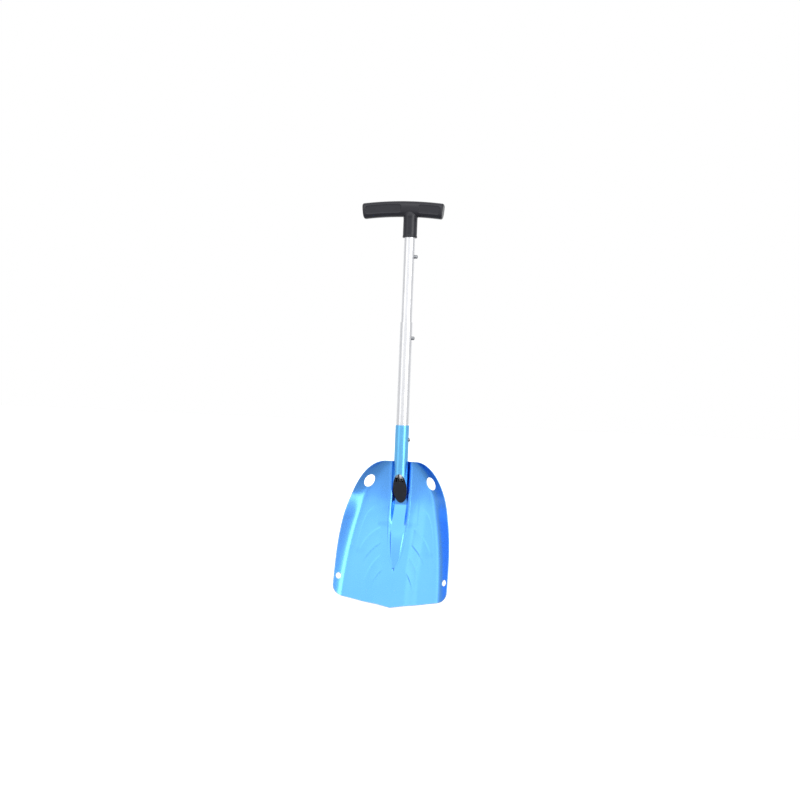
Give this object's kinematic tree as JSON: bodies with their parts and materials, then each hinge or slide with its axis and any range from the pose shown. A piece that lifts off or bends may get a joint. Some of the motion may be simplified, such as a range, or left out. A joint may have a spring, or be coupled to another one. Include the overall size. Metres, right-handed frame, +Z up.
{
  "type": "avalanche shovel",
  "caption": "Take-apart snow shovel: pressed aluminium scoop with slanted tube socket, two-stage telescoping shaft locked by snap buttons, moulded T-grip.",
  "frame": {"origin": "bottom centre of the extended shovel's box, under the tip of the blade", "axes": "+Z up along the shaft towards the grip, +X to the right seen from the front, the scoop opens towards -Y; the shaft's axis is the line X = 0, Y = 0.026524"},
  "size_m": [0.2302, 0.0902, 0.814],
  "materials": {
    "blue_sheet": "sky-blue anodised pressed sheet, satin",
    "blue_tube": "sky-blue anodised tube, satin",
    "silver_tube": "clear anodised drawn tube, fine lengthwise grain",
    "rivets": "plain rivet",
    "buttons": "bright zinc plated",
    "spring_steel": "tempered spring strip",
    "black_grip": "moulded, satin with fine grain",
    "black_plug": "moulded, matt"
  },
  "bodies": {
    "head": {"blade": "blue_sheet", "socket_tube": "blue_tube", "socket_end_plug": "black_plug", "socket_rivet_lower": "rivets", "socket_rivet_upper": "rivets"},
    "lower_shaft": {"lower_tube": "silver_tube", "socket_button_spring": "spring_steel"},
    "upper_shaft": {"upper_tube": "silver_tube", "grip": "black_grip", "grip_rivet": "rivets", "extend_button_spring": "spring_steel", "stow_button_spring": "spring_steel"},
    "socket_lock": {"socket_button": "buttons"},
    "extend_lock": {"extend_button": "buttons"},
    "stow_lock": {"stow_button": "buttons"}
  },
  "joints": [
    {"name": "shaft_pull_out", "type": "slide", "parent": "head", "child": "lower_shaft", "axis": [0, 0, 1], "range_m": [0, 0.1], "deforming": ["socket_button"]},
    {"name": "telescope", "type": "slide", "parent": "lower_shaft", "child": "upper_shaft", "axis": [0, 0, 1], "range_m": [-0.1647, 0], "deforming": ["extend_button", "stow_button"]},
    {"name": "socket_button_press", "type": "slide", "parent": "lower_shaft", "child": "socket_lock", "axis": [-1, 0, 0], "range_m": [0, 0.0053], "stiffness_N_per_m": 1500, "springref_m": -0.002, "deforming": ["socket_button_spring"]},
    {"name": "extend_button_press", "type": "slide", "parent": "upper_shaft", "child": "extend_lock", "axis": [-1, 0, 0], "range_m": [0, 0.0069], "stiffness_N_per_m": 1500, "springref_m": -0.002, "deforming": ["extend_button_spring"]},
    {"name": "stow_button_press", "type": "slide", "parent": "upper_shaft", "child": "stow_lock", "axis": [-1, 0, 0], "range_m": [0, 0.0069], "stiffness_N_per_m": 1500, "springref_m": -0.002, "deforming": ["stow_button_spring"]}
  ]
}
